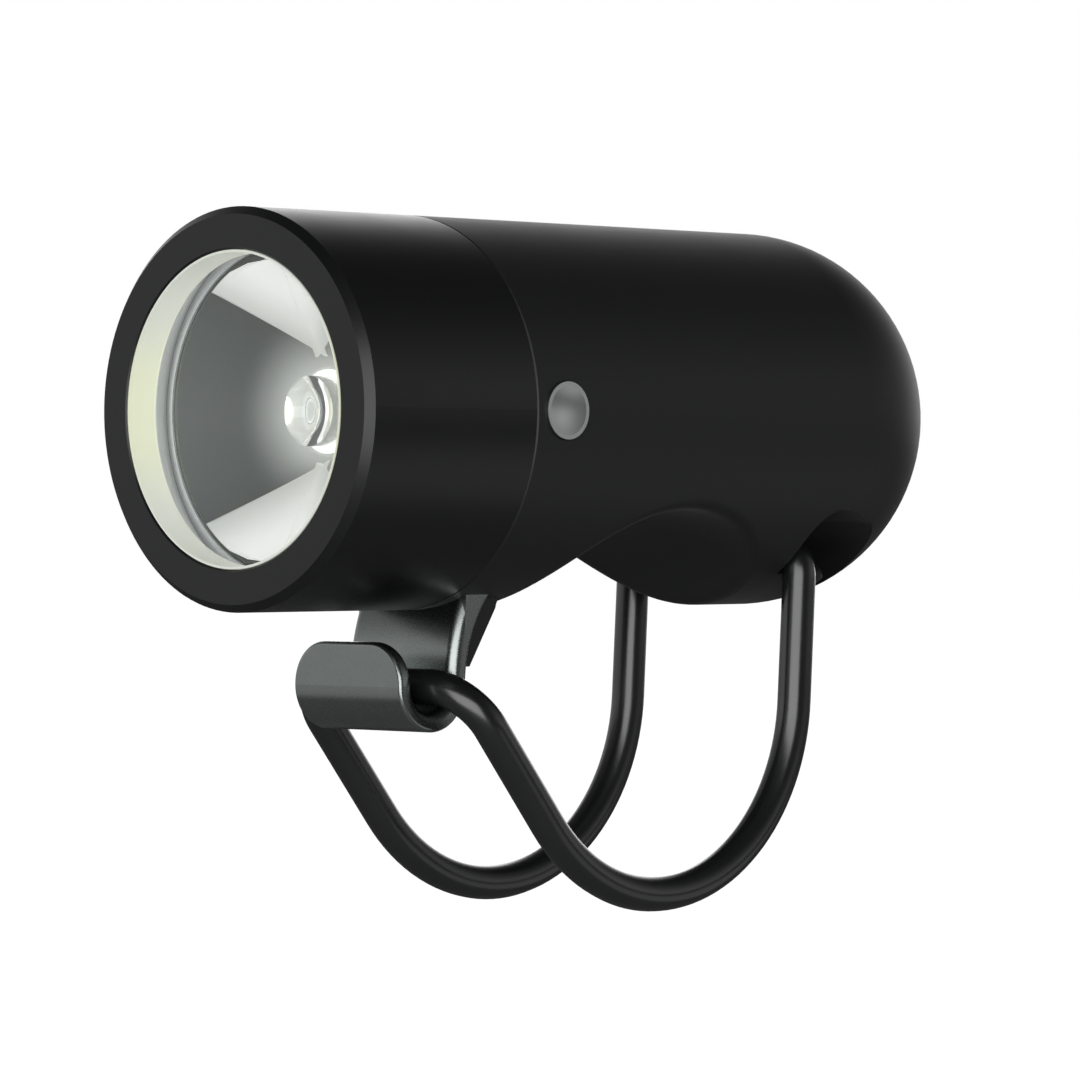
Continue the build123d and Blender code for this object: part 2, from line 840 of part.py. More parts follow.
def battery_cell():
    """Round lithium cell with a small positive nub at its front."""
    can = rod(cell_radius, (0, cell_y, cell_z), (0, cell_back, cell_z))
    can = fillet(can.edges().filter_by(GeomType.CIRCLE), cell_edge_radius)
    return can + rod(cell_nub_radius, (0, nub_y, cell_z), (0, cell_y, cell_z))


def battery_carrier():
    """Moulded cradle that fills the hollow round the cell and carries the driver board."""
    radius = cavity_radius - carrier_clearance
    low = barrel_height - past_barrel
    high = barrel_height + past_barrel
    behind = dome_y + past_barrel
    cradle = rod(radius, (0, nub_y, barrel_height), (0, dome_y, barrel_height))
    cradle += Pos(0, dome_y, barrel_height) * Sphere(radius)
    cradle -= slice_across((cell_back, behind), (low, high))
    for side in (-1, 1):
        x = side * driver_screw_x
        cradle += rod(2 * screw_radius, (x, driver_back, driver_screw_z), (x, nub_y, driver_screw_z))
    cradle -= slice_across((driver_back, behind), (low, cavity_floor))
    cradle -= saddle_tool(saddle_radius + inner_wall + carrier_clearance)
    cradle -= across(slot_profile(inner_wall + carrier_clearance), past_barrel)
    cradle -= rod(cell_radius + cell_clearance, (0, nub_y, cell_z), (0, cell_back, cell_z))
    cradle -= slice_across((nub_y, cell_back), (cell_z + carrier_rise, high))
    cradle -= carrier_windows()
    for side in (-1, 1):
        x = side * driver_screw_x
        end = driver_back + driver_screw_grip
        cradle -= rod(screw_radius, (x, driver_back, driver_screw_z), (x, end, driver_screw_z))
    return cradle


def carrier_windows():
    """Openings between the cradle's ribs, one pattern for both sides."""
    pitch = (cell_back - nub_y - carrier_bar) / carrier_bays
    top = cell_z + window_top
    windows = Part()
    for bay in range(carrier_bays):
        low = nub_y + carrier_bar + bay * pitch
        windows += slice_across((low, low + pitch - carrier_bar), (top - window_height, top))
    return windows


def front_contact():
    """Spring strip between the cell's nub and the driver board."""
    half = contact_width / 2
    fold = cell_z + contact_lap
    strip = block((-half, half), (nub_y - contact_thickness, nub_y), (cell_z - contact_lap, fold))
    return strip + block((-half, half), (driver_back, nub_y), (fold, fold + contact_thickness))


def rear_contact():
    """Strip from the rear of the cell, over its top, to the driver board."""
    half = contact_width / 2
    fold = cell_z + cell_radius
    end = cell_back + contact_thickness
    strip = block((-half, half), (cell_back, end), (cell_z - contact_lap, fold))
    return strip + block((-half, half), (driver_back, end), (fold, fold + contact_thickness))


def strap():
    """Closed rubber loop, swept along straight runs and tangent arcs."""
    path = FilletPolyline(
        (0, hook_strap_y, channel_z),
        (strap_half_span, hook_strap_y, channel_z),
        strap_corner(),
        (strap_half_span, anchor_y, anchor_z),
        (0, anchor_y, anchor_z),
        radius=[strap_front_bend, strap_loop_radius, strap_rear_bend],
    )
    section = Plane(origin=path @ 0, z_dir=path % 0) * Circle(strap_radius)
    return mirrored(sweep(section, path))


def strap_corner():
    """Point where the two straight runs of the loop would meet, outside its lower arc."""
    front = tangent_angle(hook_strap_y, channel_z, 1)
    rear = tangent_angle(anchor_y, anchor_z, -1)
    half = (rear - front) / 2
    middle = front + half
    reach = strap_loop_radius / cos(half)
    return strap_half_span, reach * cos(middle), reach * sin(middle)


def tangent_angle(y, z, side):
    """Angle of the point where a line from (y, z) touches the loop's lower arc."""
    angle = atan2(z, y) % radians(360)
    turn = angle + side * acos(strap_loop_radius / hypot(y, z))
    if side < 0:
        turn += radians(360)
    return turn


PIECES = [
    bezel, spill_ring, lens_gasket, collimator_lens, lens_holder, led_phosphor, led_package,
    led_board, led_board_screws, heat_sink, led_pins, body_seal, body_shell, front_hook,
    button_cap, button_seal, button_switch, switch_plunger, driver_board, driver_chips,
    driver_screws, charge_socket, port_flap, battery_cell, battery_carrier, front_contact,
    rear_contact, strap,
]

os.makedirs("parts", exist_ok=True)
for piece in PIECES:
    shape = piece()
    export_step(shape, f"parts/{piece.__name__}.step")
    print(piece.__name__, round(shape.volume, 2), len(shape.solids()))
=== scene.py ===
import json
from math import acos, asin, atan, atan2, cos, exp, hypot, pi, radians, sin, sqrt, tan

import bmesh
import bpy
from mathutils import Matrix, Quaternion, Vector


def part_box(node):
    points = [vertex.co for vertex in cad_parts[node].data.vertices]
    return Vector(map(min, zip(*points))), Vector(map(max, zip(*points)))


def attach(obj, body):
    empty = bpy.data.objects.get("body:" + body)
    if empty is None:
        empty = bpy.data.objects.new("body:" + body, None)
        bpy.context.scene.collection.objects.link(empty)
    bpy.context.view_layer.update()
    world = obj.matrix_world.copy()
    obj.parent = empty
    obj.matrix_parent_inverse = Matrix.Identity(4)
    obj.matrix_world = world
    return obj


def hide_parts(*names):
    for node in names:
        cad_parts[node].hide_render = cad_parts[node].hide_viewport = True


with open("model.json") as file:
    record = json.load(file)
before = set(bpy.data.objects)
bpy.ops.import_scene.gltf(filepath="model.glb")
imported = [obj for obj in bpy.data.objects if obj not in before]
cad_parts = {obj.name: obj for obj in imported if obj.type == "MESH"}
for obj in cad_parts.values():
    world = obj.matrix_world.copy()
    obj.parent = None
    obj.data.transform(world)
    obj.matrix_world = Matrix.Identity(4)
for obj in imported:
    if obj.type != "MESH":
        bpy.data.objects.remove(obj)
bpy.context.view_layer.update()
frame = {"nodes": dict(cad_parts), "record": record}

MM = 0.001

# Places read from the frame
bezel_low, bezel_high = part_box("bezel")
strap_low, strap_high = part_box("strap")
flap_low, flap_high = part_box("port_flap")
AXIS_HEIGHT = (bezel_low.z + bezel_high.z) / 2
BARREL_RADIUS = (bezel_high.z - bezel_low.z) / 2
LENS_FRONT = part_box("collimator_lens")[0].y
CUP_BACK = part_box("lens_holder")[1].y
HOOK_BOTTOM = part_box("front_hook")[0].z


class Value:
    """One output of a node, with the arithmetic that adds Math nodes to its tree."""

    def __init__(self, finish, socket):
        self.finish = finish
        self.socket = socket

    def maths(self, operation, *terms):
        """A Math node on these terms."""
        return self.finish.node("ShaderNodeMath", {"operation": operation}, dict(enumerate(terms)))

    def __add__(self, other):
        return self.maths("ADD", self, other)

    def __radd__(self, other):
        return self.maths("ADD", other, self)

    def __sub__(self, other):
        return self.maths("SUBTRACT", self, other)

    def __rsub__(self, other):
        return self.maths("SUBTRACT", other, self)

    def __mul__(self, other):
        return self.maths("MULTIPLY", self, other)

    def __rmul__(self, other):
        return self.maths("MULTIPLY", other, self)

    def __abs__(self):
        return self.maths("ABSOLUTE", self)

    def or_more(self, other):
        """The greater of this value and another."""
        return self.maths("MAXIMUM", self, other)


class Finish:
    """A node tree under construction: a material's, or the world's."""

    def __init__(self, owner):
        owner.use_nodes = True
        self.owner = owner
        self.tree = owner.node_tree

    def node(self, kind, settings=None, inputs=None, output=0):
        """Add a node of any type: its settings first, then the values or links of its sockets."""
        made = self.tree.nodes.new(kind)
        for name, setting in (settings or {}).items():
            setattr(made, name, setting)
        for name, given in (inputs or {}).items():
            self.feed(made.inputs[name], given)
        return Value(self, made.outputs[output])

    def feed(self, socket, given):
        """Link a value to a socket, or set it there."""
        if isinstance(given, Value):
            self.tree.links.new(given.socket, socket)
        else:
            socket.default_value = given

    def place(self):
        """The point in the part's own frame, in metres."""
        return self.node("ShaderNodeTexCoord", output="Object")

    def place_parts(self):
        """The point's distance across the part, along it and up."""
        parts = self.node("ShaderNodeSeparateXYZ", inputs={0: self.place()}).socket.node
        return [Value(self, output) for output in parts.outputs]

    def ray(self, kind):
        """1 on rays of one kind, such as Is Camera Ray, and 0 on the rest."""
        return self.node("ShaderNodeLightPath", output=kind)

    def grain(self, size, detail=2.0):
        """Noise from 0 to 1 whose features are about that size, in metres."""
        inputs = {"Vector": self.place(), "Scale": 1 / size, "Detail": detail}
        return self.node("ShaderNodeTexNoise", inputs=inputs)

    def blend(self, share, low, high):
        """A colour between two others."""
        return self.node("ShaderNodeMix", {"data_type": "RGBA"}, {0: share, 6: low, 7: high}, output=2)

    def step(self, value, low, high):
        """0 below low, 1 above high and smooth between them."""
        settings = {"interpolation_type": "SMOOTHSTEP"}
        return self.node("ShaderNodeMapRange", settings, {0: value, 1: low, 2: high})

    def bump(self, height, distance, strength=0.5):
        """A normal that follows a height of 0 to 1, which stands that far out, in metres."""
        inputs = {"Strength": strength, "Distance": distance, "Height": height}
        return self.node("ShaderNodeBump", inputs=inputs)

    def cover(self, share, low, high):
        """Put a mix of two shaders on the surface."""
        mixed = self.node("ShaderNodeMixShader", inputs={0: share, 1: low, 2: high})
        self.feed(self.tree.nodes["Material Output"].inputs["Surface"], mixed)


def finish(name):
    """A new material with a Principled shader, ready to be given its sockets."""
    made = Finish(bpy.data.materials.new(name))
    made.shader = made.tree.nodes["Principled BSDF"]
    return made


def coat(made, **sockets):
    """Set or link the Principled shader's sockets, named with underscores for spaces."""
    for name, given in sockets.items():
        made.feed(made.shader.inputs[name.replace("_", " ")], given)
    return made.owner


def colour(r, g, b):
    """A socket's colour, in linear light."""
    return (r, g, b, 1.0)


def grained(name, size, low, high, roughness, spread=0.1, relief=0.0, strength=0.5, **sockets):
    """An even finish whose fine grain shifts its colour and its gloss, and stands out by the relief."""
    made = finish(name)
    fine = made.grain(size)
    if relief:
        sockets["Normal"] = made.bump(fine, relief, strength)
    return coat(
        made,
        Base_Color=made.blend(fine, colour(*low), colour(*high)),
        Roughness=roughness + spread * fine,
        **sockets,
    )


def bezel_black():
    """Fine-blasted black metal of the front ring."""
    made = finish("bezel_black")
    fine = made.grain(0.11 * MM)
    broad = made.grain(4 * MM)
    return coat(
        made,
        Base_Color=made.blend(fine, colour(0.0036, 0.0043, 0.0040), colour(0.0066, 0.0076, 0.0071)),
        Roughness=0.29 + 0.05 * broad + 0.04 * fine,
        Specular_IOR_Level=0.5,
        Normal=made.bump(fine, 0.006 * MM, 0.7),
    )


def soft_touch_black():
    """Soft-touch moulded body: very dark, even, with a silky edge."""
    made = finish("soft_touch_black")
    fine = made.grain(0.07 * MM)
    broad = made.grain(6 * MM, detail=3.0)
    return coat(
        made,
        Base_Color=made.blend(broad, colour(0.0048, 0.0058, 0.0054), colour(0.0064, 0.0074, 0.0069)),
        Roughness=0.46 + 0.06 * broad + 0.03 * fine,
        Specular_IOR_Level=0.6,
        Sheen_Weight=0.06,
        Sheen_Roughness=0.3,
        Normal=made.bump(fine, 0.003 * MM),
    )


def hook_metal():
    """Satin bead-blasted metal of the hook."""
    made = finish("hook_metal")
    fine = made.grain(0.09 * MM)
    broad = made.grain(3 * MM)
    return coat(
        made,
        Base_Color=made.blend(broad, colour(0.275, 0.30, 0.29), colour(0.32, 0.345, 0.335)),
        Metallic=1.0,
        Roughness=0.25 + 0.05 * fine,
        Normal=made.bump(fine, 0.006 * MM),
    )


def strap_rubber():
    """Satin black rubber of the loop."""
    made = finish("strap_rubber")
    fine = made.grain(0.10 * MM)
    broad = made.grain(5 * MM, detail=3.0)
    return coat(
        made,
        Base_Color=made.blend(broad, colour(0.0070, 0.0080, 0.0076), colour(0.0110, 0.0122, 0.0117)),
        Roughness=0.22 + 0.06 * broad,
        Specular_IOR_Level=1.0,
        Normal=made.bump(fine, 0.004 * MM),
    )


# Heights over the barrel's axis between which the cream ring loses its painted yellow-green glow
PAINTED_GLOW_FULL = 2 * MM
PAINTED_GLOW_GONE = 9 * MM


def cream_plastic():
    """Pale satin plastic that lines the opening, with the light source's yellow-green glow painted into its
    colour and its emission.
    """
    made = finish("cream_plastic")
    fine = made.grain(0.10 * MM)
    _, _, up = made.place_parts()
    # Painted light: the light source's yellow-green glow, in both colour and emission, strongest near the
    # axis.
    middle = 1 - made.step(abs(up - AXIS_HEIGHT), PAINTED_GLOW_FULL, PAINTED_GLOW_GONE)
    painted_glow_tint = made.blend(middle, colour(0.70, 0.725, 0.66), colour(0.74, 0.77, 0.58))
    return coat(
        made,
        Base_Color=made.blend(fine * 0.08, painted_glow_tint, colour(0.5, 0.52, 0.46)),
        Roughness=0.42 + 0.08 * fine,
        Normal=made.bump(fine, 0.004 * MM, 0.4),
        Emission_Color=painted_glow_tint,
        Emission_Strength=0.33,
    )


def clear_lens():
    """Clear moulded acrylic, which lets light through to the skins behind it."""
    made = finish("clear_lens")
    coat(
        made,
        Base_Color=colour(0.97, 0.985, 0.975),
        Transmission_Weight=1.0,
        IOR=1.49,
        Roughness=0.01 + 0.015 * made.grain(1.5 * MM),
    )
    lets_through = made.ray("Is Shadow Ray") + made.ray("Is Diffuse Ray")
    made.cover(lets_through, Value(made, made.shader.outputs[0]), made.node("ShaderNodeBsdfTransparent"))
    return made.owner


# Heights over the white skins' cut, which leans away from the middle, between which their painted
# reflection brightens
WHITE_CUT_LEAN = 0.6
WHITE_DIM = 2.5 * MM
WHITE_BRIGHT = 10.5 * MM


def bowl_white():
    """Bright satin skin on the lens bowl: a painted bright reflection with a painted glow, dimmer along its
    cut edge.
    """
    made = finish("bowl_white")
    fine = made.grain(0.12 * MM)
    across, _, up = made.place_parts()
    # Painted reflection and shade: white away from the cut, greyer along it; the emission is a painted
    # glow.
    painted_light_share = made.step(abs(up - AXIS_HEIGHT) - WHITE_CUT_LEAN * abs(across), WHITE_DIM, WHITE_BRIGHT)
    shade = made.blend(painted_light_share, colour(0.42, 0.44, 0.42), colour(0.90, 0.915, 0.905))
    return coat(
        made,
        Base_Color=made.blend(fine * 0.1, shade, colour(0.7, 0.72, 0.7)),
        Roughness=0.5 + 0.1 * fine,
        Emission_Color=made.blend(painted_light_share, colour(0.35, 0.36, 0.35), colour(1, 1, 0.99)),
        Emission_Strength=0.38,
    )


# Depths behind the lens's front between which the grey skin turns pale, painted light from the light source
GREY_DARK = 10.5 * MM
GREY_PALE = 15.5 * MM


def bowl_grey():
    """Smoke-grey skin on the lens bowl, a painted dark reflection, with painted light making it paler
    towards the light source.
    """
    made = finish("bowl_grey")
    fine = made.grain(0.12 * MM)
    _, along, _ = made.place_parts()
    # Painted light: the skin pales with depth, towards the light source.
    deep = made.step(along, LENS_FRONT + GREY_DARK, LENS_FRONT + GREY_PALE)
    shade = made.blend(deep, colour(0.080, 0.092, 0.090), colour(0.50, 0.52, 0.525))
    return coat(
        made,
        Base_Color=made.blend(fine * 0.15, shade, colour(0.12, 0.13, 0.13)),
        Roughness=0.35 + 0.1 * fine,
    )


# Depths behind the lens's front between which the liner turns from cream to grey and its painted glow dims
LINER_CREAM = 0.8 * MM
LINER_GREY = 1.4 * MM


def liner_plastic():
    """Pale plastic behind the clear rim: cream at the front, then a cooler grey, with a painted glow that
    is brighter at the front.
    """
    made = finish("liner_plastic")
    fine = made.grain(0.12 * MM)
    _, along, _ = made.place_parts()
    # Painted light: the emission is a painted glow, bright cream at the front and dim grey deeper.
    deep = made.step(along, LENS_FRONT + LINER_CREAM, LENS_FRONT + LINER_GREY)
    shade = made.blend(deep, colour(0.78, 0.80, 0.64), colour(0.56, 0.585, 0.59))
    return coat(
        made,
        Base_Color=made.blend(fine * 0.1, shade, colour(0.5, 0.52, 0.5)),
        Roughness=0.42 + 0.08 * fine,
        Emission_Color=made.blend(deep, colour(0.80, 0.82, 0.66), colour(0.30, 0.31, 0.31)),
        Emission_Strength=0.3,
    )


def holder_white():
    """White satin plastic of the lens's cup."""
    low, high = (0.78, 0.80, 0.80), (0.84, 0.86, 0.86)
    return grained("holder_white", 0.12 * MM, low, high, 0.42, spread=0.08, relief=0.004 * MM, strength=0.4)


def pale_silicone():
    """Pale translucent silicone of the lens's ring."""
    return grained("pale_silicone", 0.2 * MM, (0.50, 0.52, 0.53), (0.58, 0.60, 0.61), 0.45)


def flap_rubber():
    """Matt rubber of the port flap, a shade softer than the body."""
    low, high = (0.0060, 0.0066, 0.0064), (0.0090, 0.0098, 0.0095)
    return grained("flap_rubber", 0.12 * MM, low, high, 0.52, spread=0.06, relief=0.006 * MM, strength=0.6)


def seal_rubber():
    """Dark silicone of the gaskets."""
    low, high = (0.012, 0.012, 0.013), (0.020, 0.020, 0.021)
    return grained("seal_rubber", 0.2 * MM, low, high, 0.45, relief=0.004 * MM)


def dark_plastic():
    """Plain dark moulded plastic of the hidden cradle and the switch."""
    low, high = (0.018, 0.019, 0.020), (0.030, 0.031, 0.032)
    return grained("dark_plastic", 0.15 * MM, low, high, 0.45, relief=0.006 * MM)


def button_metal():
    """Fine satin face of the button."""
    low, high = (0.66, 0.685, 0.675), (0.76, 0.785, 0.775)
    return grained("button_metal", 0.06 * MM, low, high, 0.30, spread=0.06, relief=0.004 * MM, Metallic=1.0)


def turned_metal(name, low, high, roughness):
    """Bare metal with a fine grain."""
    return grained(name, 0.12 * MM, low, high, roughness, spread=0.08, relief=0.004 * MM, Metallic=1.0)


def phosphor():
    """Yellow converting layer of the light source, alight."""
    glow = {"Emission_Color": colour(1, 0.985, 0.90), "Emission_Strength": 9.0}
    low, high = (0.85, 0.80, 0.32), (0.92, 0.88, 0.42)
    return grained("phosphor", 0.08 * MM, low, high, 0.55, relief=0.006 * MM, **glow)


def painted_glow_white(name, size, low, high, roughness, glow):
    """White surface beside the light source, with the source's light painted on as an even glow."""
    # Painted light: an even emission that stands in for the light source's light on this surface.
    painted_glow_light = {"Emission_Color": colour(1, 1, 0.98), "Emission_Strength": glow}
    return grained(name, size, low, high, roughness, **painted_glow_light)


def white_ceramic():
    """White ceramic of the light source's carrier, with a painted glow."""
    return painted_glow_white("white_ceramic", 0.1 * MM, (0.74, 0.75, 0.74), (0.82, 0.83, 0.82), 0.35, glow=1.3)


def board_metal():
    """White solder mask over the metal-cored board, with a painted glow."""
    return painted_glow_white("board_metal", 0.3 * MM, (0.66, 0.68, 0.67), (0.74, 0.76, 0.75), 0.30, glow=0.8)


def green_board():
    """Green solder mask, with its darker copper tracks showing through."""
    made = finish("green_board")
    cells = {"Vector": made.place(), "Scale": 1 / (2.2 * MM)}
    edges = made.node("ShaderNodeTexVoronoi", {"feature": "DISTANCE_TO_EDGE"}, cells)
    tracks = 1 - made.step(edges, 0.03, 0.07)
    return coat(
        made,
        Base_Color=made.blend(tracks, colour(0.010, 0.075, 0.030), colour(0.018, 0.13, 0.05)),
        Roughness=0.28 + 0.1 * tracks,
        Normal=made.bump(tracks, 0.02 * MM),
    )


def cell_wrap():
    """Shrink wrap of the battery cell, with its soft ripples."""
    low, high = (0.02, 0.10, 0.24), (0.03, 0.13, 0.30)
    return grained("cell_wrap", 1.2 * MM, low, high, 0.22, relief=0.02 * MM, strength=0.4)


# The record's material slots and the finish of each
FINISHES = {
    "bezel_black": bezel_black(),
    "cream_plastic": cream_plastic(),
    "seal_rubber": seal_rubber(),
    "clear_lens": clear_lens(),
    "dark_plastic": dark_plastic(),
    "phosphor": phosphor(),
    "white_ceramic": white_ceramic(),
    "board_metal": board_metal(),
    "screw_steel": turned_metal("screw_steel", (0.42, 0.42, 0.43), (0.52, 0.52, 0.53), 0.25),
    "sink_aluminium": turned_metal("sink_aluminium", (0.62, 0.63, 0.64), (0.72, 0.73, 0.74), 0.32),
    "contact_metal": turned_metal("contact_metal", (0.66, 0.60, 0.46), (0.76, 0.70, 0.54), 0.24),
    "soft_touch_black": soft_touch_black(),
    "hook_metal": hook_metal(),
    "button_metal": button_metal(),
    "green_board": green_board(),
    "socket_steel": turned_metal("socket_steel", (0.56, 0.56, 0.57), (0.66, 0.66, 0.67), 0.2),
    "flap_rubber": flap_rubber(),
    "cell_wrap": cell_wrap(),
    "strap_rubber": strap_rubber(),
}


def dress_nodes():
    """Give every node of the frame the finish that the record names for it."""
    for part in frame["record"]["subparts"]:
        slots = frame["nodes"][part["node"]].data.materials
        slots.clear()
        slots.append(FINISHES[part["material_slot"]])


def new_piece(name, shape, slot, body, material=None):
    """Make a smooth mesh piece from a bmesh, with its finish, riding on a body."""
    mesh = bpy.data.meshes.new(name)
    shape.to_mesh(mesh)
    shape.free()
    mesh.shade_smooth()
    piece = bpy.data.objects.new(name, mesh)
    bpy.context.scene.collection.objects.link(piece)
    mesh.materials.append(material or FINISHES[slot])
    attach(piece, body)
    return piece


WELD = 0.001 * MM


def tidy_mesh(shape):
    """Weld the points that lie on each other and turn every face outwards."""
    bmesh.ops.remove_doubles(shape, verts=shape.verts, dist=WELD)
    bmesh.ops.recalc_face_normals(shape, faces=shape.faces)


def join_rows(shape, rows, closed):
    """Join rows of points into a surface of four-sided faces."""
    made = [[shape.verts.new(point) for point in row] for row in rows]
    for row, following in zip(made, made[1:]):
        count = len(row)
        for place in range(count if closed else count - 1):
            after = (place + 1) % count
            shape.faces.new((row[place], row[after], following[after], following[place]))


def round_angles(count):
    """Even angles all round a circle."""
    return [2 * pi * side / count for side in range(count)]


def even_steps(start, end, count):
    """Places from start to end, both of them included."""
    return [start + (end - start) * step / count for step in range(count + 1)]


def thicken(piece, thickness):
    """Give a surface its thickness, evenly to both sides."""
    solid = piece.modifiers.new("thickness", "SOLIDIFY")
    solid.thickness = thickness
    solid.offset = 0


# Lens: depths are from its front face, radii about the barrel's axis
LENS_DEPTH = 15.5 * MM
LENS_BACK = LENS_FRONT + LENS_DEPTH
LENS_EDGE = 0.1 * MM
LENS_RIM_RADIUS = 15.6 * MM
LENS_RIM_DEPTH = 6.8 * MM
LENS_TAIL_RADIUS = 3.7 * MM
BOWL_FRONT = LENS_FRONT + 5.3 * MM
BOWL_RADIUS = 13.95 * MM
BOWL_FULLNESS = 0.502
POCKET_RADIUS = 3.0 * MM
POCKET_DEPTH = 4.2 * MM
POCKET_CROWN = 1.3 * MM
POCKET_STEPS = 8
BOWL_ROWS = 40
TURNED_SIDES = 120
TURNED_SHARP = radians(30)


def turned(name, outline, slot, material=None, closed=False):
    """A piece turned about the barrel's axis from (depth, radius) points along its outline."""
    shape = bmesh.new()
    rows = []
    for depth, radius in outline + outline[:1] if closed else outline:
        y = LENS_FRONT + depth
        turns = round_angles(TURNED_SIDES)
        rows.append([Vector((radius * sin(turn), y, AXIS_HEIGHT + radius * cos(turn))) for turn in turns])
    join_rows(shape, rows, closed=True)
    tidy_mesh(shape)
    piece = new_piece(name, shape, slot, "root", material)
    piece.data.set_sharp_from_angle(angle=TURNED_SHARP)
    return piece


def bowl_radius(y):
    """Radius of the lens bowl's outside at the place y, on one arc from rim to tail."""
    middle_y = (BOWL_FRONT + LENS_BACK) / 2
    middle = LENS_TAIL_RADIUS + (BOWL_RADIUS - LENS_TAIL_RADIUS) * BOWL_FULLNESS
    rise = (BOWL_RADIUS + LENS_TAIL_RADIUS) / 2 - middle
    half = (LENS_BACK - BOWL_FRONT) / 2
    lean = (LENS_TAIL_RADIUS - BOWL_RADIUS) / 2
    # The centre is as far from the middle point as from both ends
    centre_r = (half**2 + lean**2 + rise**2) / (2 * rise)
    centre_y = -lean * centre_r / half + lean * rise / half
    reach = hypot(centre_y, centre_r)
    return middle + centre_r + sqrt(reach**2 - (y - middle_y - centre_y) ** 2)


def bowl_outline(start, end, inset=0.0):
    """(depth, radius) points along the bowl from one place to another, set in from its outside."""
    return [(y - LENS_FRONT, bowl_radius(y) - inset) for y in even_steps(start, end, BOWL_ROWS)]


def clear_body():
    """The lens itself: a deep rim, a bowl and a pocket with a domed end for the light source."""
    outline = [(0, 0), (0, LENS_RIM_RADIUS - LENS_EDGE), (LENS_EDGE, LENS_RIM_RADIUS)]
    outline += [(LENS_RIM_DEPTH, LENS_RIM_RADIUS)]
    outline += bowl_outline(BOWL_FRONT + LENS_EDGE, LENS_BACK)
    outline += [(LENS_DEPTH, POCKET_RADIUS)]
    for share in even_steps(0, 1, POCKET_STEPS):
        crown = POCKET_CROWN * (1 - (1 - share) ** 2)
        outline += [(LENS_DEPTH - POCKET_DEPTH + crown, POCKET_RADIUS * (1 - share))]
    lens = turned("clear_lens", outline, "clear_lens")
    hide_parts("collimator_lens")


# Liner behind the clear rim, as (depth, radius) points
LINER_THICKNESS = 0.1 * MM
SLEEVE_OUTLINE = [(0.05 * MM, 13.2 * MM), (2.2 * MM, 14.1 * MM), (6.45 * MM, 15.4 * MM)]
STEP_OUTLINE = [(6.52 * MM, 15.28 * MM), (5.25 * MM, 13.95 * MM)]


def lens_liner():
    """Pale liner in the lens's rim: a sleeve that goes on from the ring, and a step before the bowl."""
    pale = liner_plastic()
    for name, outline in (("liner_sleeve", SLEEVE_OUTLINE), ("liner_step", STEP_OUTLINE)):
        thicken(turned(name, outline, "cream_plastic", pale), LINER_THICKNESS)


# Cup that carries the lens
CUP_FRONT_DEPTH = 1.2 * MM
CUP_INNER_RADIUS = 15.65 * MM
CUP_OUTER_RADIUS = 15.9 * MM
CUP_SHELF_DEPTH = 7.2 * MM
CUP_SHELF_RADIUS = 12.4 * MM
CUP_CLEARANCE = 0.3 * MM


def lens_cup():
    """White cup that carries the lens and stands on the heat sink."""
    back = CUP_BACK - LENS_FRONT
    outline = [(CUP_FRONT_DEPTH, CUP_INNER_RADIUS), (CUP_FRONT_DEPTH, CUP_OUTER_RADIUS)]
    outline += [(back, CUP_OUTER_RADIUS), (back, bowl_radius(CUP_BACK) + CUP_CLEARANCE)]
    outline += [(CUP_SHELF_DEPTH, CUP_SHELF_RADIUS), (CUP_SHELF_DEPTH, CUP_INNER_RADIUS)]
    cup = turned("lens_cup", outline, "cream_plastic", holder_white(), closed=True)
    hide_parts("lens_holder")


# Soft ring, oval in section
RING_DEPTH = 0.6 * MM
RING_RADIUS = 15.75 * MM
RING_HALF_WIDTH = 0.5 * MM
RING_HALF_THICKNESS = 0.13 * MM
RING_SIDES = 24


def lens_ring():
    """Soft ring between the lens's rim and the bezel."""
    outline = [
        (RING_DEPTH + RING_HALF_WIDTH * cos(turn), RING_RADIUS + RING_HALF_THICKNESS * sin(turn))
        for turn in round_angles(RING_SIDES)
    ]
    ring = turned("lens_ring", outline, "seal_rubber", pale_silicone(), closed=True)
    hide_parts("lens_gasket")


# Skins inside the bowl, sheets with the lens's reflections painted on. A white skin's cut is (gap, spread):
# it runs gap + spread * x above the axis
SKIN_THICKNESS = 0.06 * MM
SKIN_MARGIN = 0.04 * MM
GREY_INSET = 0.12 * MM
WHITE_INSET = 0.30 * MM
WHITE_MARGIN = 0.12 * MM
UPPER_CUT = (4.9 * MM, 0.60)
LOWER_CUT = (4.5 * MM, 0.53)
WHITE_TOP = 13.1 * MM
WHITE_TOP_ROUND = 34.0 * MM
WHITE_LAP = 0.75 * MM
WHITE_LAP_GAP = 0.04 * MM


def grey_skin():
    """Smoke-grey skin all over the bowl, a sheet that paints the lens's dark reflection."""
    outline = bowl_outline(BOWL_FRONT + LENS_EDGE, LENS_BACK - SKIN_MARGIN, GREY_INSET)
    thicken(turned("grey_skin", outline, "clear_lens", bowl_grey()), SKIN_THICKNESS)


def white_reach(radius, gap, spread):
    """The angles from straight up between which a white skin runs, at a radius of the bowl."""
    inner = acos(gap / (sqrt(1 + spread**2) * radius)) - atan(spread)
    if radius <= WHITE_TOP:
        return -asin(WHITE_LAP / radius), inner
    # The rounded top edge meets this radius where z = top - x * x / round
    half = WHITE_TOP_ROUND / 2
    height = half - sqrt(half**2 - WHITE_TOP_ROUND * WHITE_TOP + radius**2)
    return acos(min(1, height / radius)), inner


